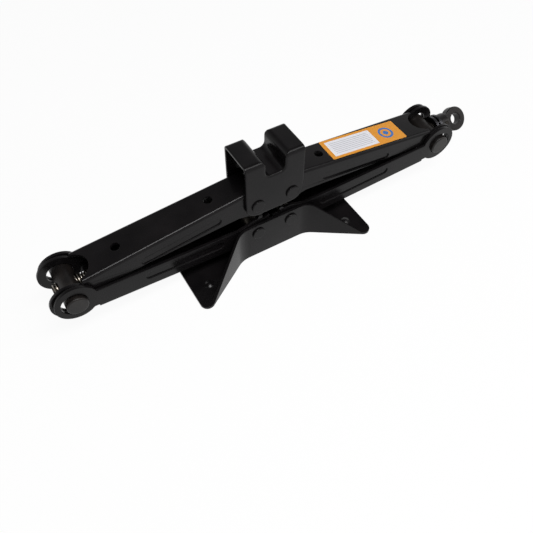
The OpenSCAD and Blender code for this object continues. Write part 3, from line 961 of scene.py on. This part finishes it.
@dataclass
class KeptNode:
    """A node whose shape is right as it is and only needs its finish."""

    node: str
    finish: Finish

    def dress(self) -> None:
        """Gives the node its finish."""
        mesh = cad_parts[self.node].data
        mesh.materials.clear()
        mesh.materials.append(self.finish.material())
        LOG.info("%s: node with its own mesh", self.node)


@dataclass(frozen=True)
class SoftBox:
    """A soft box: place and sides in metres, power in watts, and the point that it faces.

    Without such a point it hangs level, and its long side draws a line on every long bend.
    """

    name: str
    place: tuple[float, float, float]
    length: float
    width: float
    power: float
    faces: tuple[float, float, float] | None = None


@dataclass
class Studio:
    """Camera, paper sweep, lamps and the room that the jack mirrors."""

    eye: tuple[float, float, float] = (-164.97 * MM, -279.29 * MM, 384.24 * MM)
    azimuth_deg: float = -30.827
    elevation_deg: float = 53.011
    roll_deg: float = 0.194
    lens_mm: float = 39.95
    sensor_mm: float = 36.0
    floor_half: float = 4.0
    floor_drop: float = 0.05 * MM
    room_light: float = 0.16
    # height of a direction, from the horizon at 0 to straight up at 1, and the room's grey there
    room_greys: tuple[tuple[float, float], ...] = (
        (0.3, 1.0), (0.53, 0.55), (0.66, 0.46), (0.76, 0.17), (1.0, 0.11))
    boxes: tuple[SoftBox, ...] = (
        SoftBox("key_strip", (-0.06, -0.42, 1.0), 0.55, 0.26, 9.0),
        SoftBox("saddle_soft_box", (0.45, -0.45, 1.0), 0.42, 0.42, 3.0, JACK_MIDDLE),
        SoftBox("end_soft_box", (1.1, -0.5, 0.8), 0.6, 0.6, 2.0, JACK_MIDDLE),
    )

    def camera(self) -> None:
        """Sets the camera at the fitted place and direction."""
        data = bpy.data.cameras.new("camera")
        data.lens = self.lens_mm
        data.sensor_width = self.sensor_mm
        data.clip_start = 0.01
        camera = bpy.data.objects.new("camera", data)
        bpy.context.scene.collection.objects.link(camera)
        az, el = math.radians(self.azimuth_deg), math.radians(self.elevation_deg)
        back = Vector((math.sin(az) * math.cos(el), -math.cos(az) * math.cos(el), math.sin(el)))
        turn = back.to_track_quat("Z", "Y").to_matrix().to_4x4()
        camera.matrix_world = (Matrix.Translation(self.eye) @ turn
                               @ Matrix.Rotation(math.radians(self.roll_deg), 4, "Z"))
        bpy.context.scene.camera = camera

    def floor(self) -> None:
        """Lays the paper sweep just under the base."""
        deselect()
        bpy.ops.mesh.primitive_plane_add(size=2.0 * self.floor_half, location=(0.0, 0.0, -self.floor_drop))
        sweep = bpy.context.object
        sweep.name = "paper_sweep"
        sweep.data.materials.append(PaleFloor().material())

    def hang(self, box: SoftBox) -> None:
        """Hangs a soft box.

        Args:
            box: the soft box.
        """
        data = bpy.data.lights.new(box.name, "AREA")
        data.shape = "RECTANGLE"
        data.size = box.length
        data.size_y = box.width
        data.energy = box.power
        lamp = bpy.data.objects.new(box.name, data)
        bpy.context.scene.collection.objects.link(lamp)
        lamp.location = box.place
        if box.faces:
            away = Vector(box.place) - Vector(box.faces)
            lamp.rotation_euler = away.to_track_quat("Z", "Y").to_euler()

    def room(self) -> None:
        """Makes a room that is white round the horizon and dim overhead."""
        world = bpy.data.worlds.new("studio_room")
        bpy.context.scene.world = world
        world.use_nodes = True
        tree = world.node_tree
        tree.nodes.clear()
        way = add_node(tree, "ShaderNodeTexCoord").outputs["Generated"]
        height = add_node(tree, "ShaderNodeSeparateXYZ", None, {"Vector": way}).outputs["Z"]
        ramp = add_node(tree, "ShaderNodeValToRGB", None, {"Fac": height})
        set_ramp(ramp, ((place, grey(value)) for place, value in self.room_greys))
        shown = add_node(tree, "ShaderNodeBackground", None,
                         {"Color": ramp.outputs["Color"], "Strength": 1.0})
        lit = add_node(tree, "ShaderNodeBackground", None,
                       {"Color": grey(1.0), "Strength": self.room_light})
        mix = add_node(tree, "ShaderNodeMixShader", None, {
            0: seen_directly(tree), 1: lit.outputs["Background"], 2: shown.outputs["Background"]})
        add_node(tree, "ShaderNodeOutputWorld", None, {"Surface": mix.outputs["Shader"]})

    def build(self) -> None:
        """Sets up the whole studio."""
        self.camera()
        self.floor()
        self.room()
        for box in self.boxes:
            self.hang(box)
        bpy.context.scene.view_settings.view_transform = "Standard"


ENAMELLED = (
    ("upper_arm_left", Body.UPPER_LEFT), ("upper_arm_right", Body.UPPER_RIGHT),
    ("base_rivet_left", Body.BASE), ("base_rivet_right", Body.BASE),
    ("saddle_rivet_left", Body.SADDLE), ("saddle_rivet_right", Body.SADDLE),
)
TURNED = (("trunnion_nut", Body.NUT), ("trunnion_plain", Body.PLAIN))
RACES = (("bearing_race_fixed", Body.PLAIN), ("bearing_race_turning", Body.SCREW))
PLAIN_NODES = (
    "base_spacer_left", "base_spacer_right", "saddle_spacer_left", "saddle_spacer_right", "eye_pin",
)


def main() -> None:
    """Builds the studio and dresses every piece of the jack."""
    logging.basicConfig(level=logging.INFO, format="%(name)s: %(message)s")
    deselect()
    Studio().build()
    BasePlate("base_plate", Body.BASE, ENAMEL, Slot.BLACK, sharp_deg=45.0, smooth_deg=45.0).build()
    Melted("saddle", Body.SADDLE, ENAMEL, voxel=0.42 * MM, smoothing=8,
           lip=(10.0 * MM, 12.0 * MM, 79.5 * MM)).build()
    Melted("drive_eye", Body.SCREW, FORGED, voxel=0.32 * MM, smoothing=10).build()
    LowerArm("lower_arm_left", Body.LOWER_LEFT, ENAMEL, Slot.BLACK, half_turn=math.pi).build()
    LowerArm("lower_arm_right", Body.LOWER_RIGHT, ENAMEL, Slot.BLACK).build()
    for node, body in ENAMELLED:
        SoftEdged(node, body, ENAMEL, Slot.BLACK).build()
    for node, body in TURNED:
        SoftEdged(node, body, FORGED, Slot.BLACK).build()
    for node, body in RACES:
        SoftEdged(node, body, BLUED_STEEL, Slot.BEARING, edge_round=0.2 * MM).build()
    LeadScrew().build()
    Label().build()
    # the spacers and the pin take the steel darkened as a painted shade
    for node in PLAIN_NODES:
        KeptNode(node, SHADE_DARKENED_STEEL).dress()
    KeptNode("bearing_balls", BLUED_STEEL).dress()


if __name__ == "__main__":
    main()
